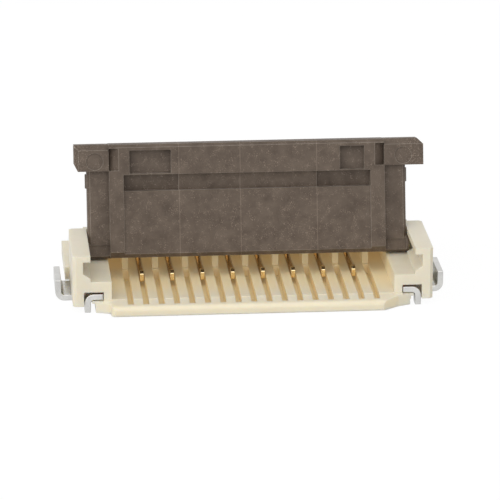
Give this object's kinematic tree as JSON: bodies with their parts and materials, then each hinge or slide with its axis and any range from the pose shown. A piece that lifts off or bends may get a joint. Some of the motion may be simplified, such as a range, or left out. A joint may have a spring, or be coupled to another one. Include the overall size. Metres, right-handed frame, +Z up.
{
  "type": "fpc connector",
  "caption": "Low side-entry surface-mount connector for a flat flexible cable, with sprung contacts, board hold-downs and a hinged front-flip locking actuator.",
  "frame": {"origin": "middle of the base of the overall box, on the board plane", "axes": "+X along the row of contacts, +Y from the cable side towards the solder tails, +Z up from the board"},
  "size_m": [0.0128, 0.0074, 0.0049],
  "materials": {
    "housing_plastic": "satin, natural cream engineering plastic",
    "actuator_plastic": "matt, dark brown engineering plastic",
    "plated_contact": "gold-plated copper alloy sheet",
    "tinned_sheet": "bright tinned copper alloy sheet"
  },
  "bodies": {
    "base": {"housing": "housing_plastic", "nail_left": "tinned_sheet", "nail_right": "tinned_sheet", "contact_1": "plated_contact", "contact_2": "plated_contact", "contact_3": "plated_contact", "contact_4": "plated_contact", "contact_5": "plated_contact", "contact_6": "plated_contact", "contact_7": "plated_contact", "contact_8": "plated_contact"},
    "actuator": {"actuator": "actuator_plastic"}
  },
  "joints": [
    {"name": "actuator_hinge", "type": "hinge", "parent": "base", "child": "actuator", "pos_m": [0, -0.00065, 0.00138], "axis": [1, 0, 0], "range_deg": [0, 102]}
  ]
}
